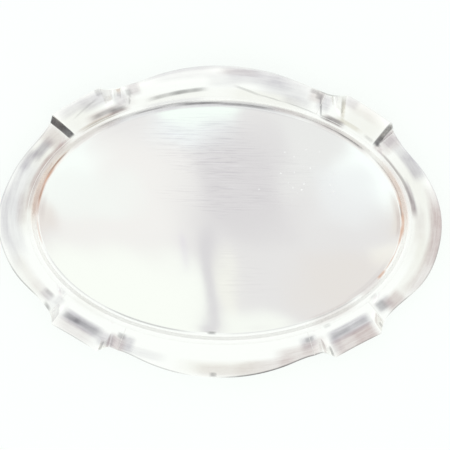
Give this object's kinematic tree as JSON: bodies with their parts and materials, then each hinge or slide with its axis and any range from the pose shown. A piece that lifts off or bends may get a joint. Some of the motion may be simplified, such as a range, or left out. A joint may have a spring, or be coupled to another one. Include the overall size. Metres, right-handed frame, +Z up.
{
  "type": "salver",
  "caption": "Oval silver salver: flat well, stepped collar, and a flared border of four lobes with a raised, pleated tab at each corner and a wired edge.",
  "frame": {"origin": "middle of the well's underside, on the surface that the salver stands on", "axes": "+X along the length, -Y to the front, +Z up out of the well"},
  "size_m": [0.33, 0.2334, 0.0215],
  "materials": {
    "well_silver": "polished, with fine scratches",
    "collar_silver": "polished, worn warm on the step",
    "border_silver": "polished",
    "wire_silver": "polished, with dark lines of tarnish beside it",
    "worn_copper_solder": "worn through to copper, satin",
    "solder": "dull, dark against the silver"
  },
  "bodies": {
    "root": {"well_plate": "well_silver", "well_seam_solder": "worn_copper_solder", "step_collar": "collar_silver", "rim_seam_solder": "solder", "border_front": "border_silver", "border_back": "border_silver", "border_left": "border_silver", "border_right": "border_silver", "corner_front_left": "border_silver", "corner_front_right": "border_silver", "corner_back_left": "border_silver", "corner_back_right": "border_silver", "joint_solder_front_left": "solder", "joint_solder_front_right": "solder", "joint_solder_back_left": "solder", "joint_solder_back_right": "solder", "wire_front": "wire_silver", "wire_back": "wire_silver", "wire_left": "wire_silver", "wire_right": "wire_silver", "wire_front_left": "wire_silver", "wire_front_right": "wire_silver", "wire_back_left": "wire_silver", "wire_back_right": "wire_silver"}
  },
  "joints": []
}
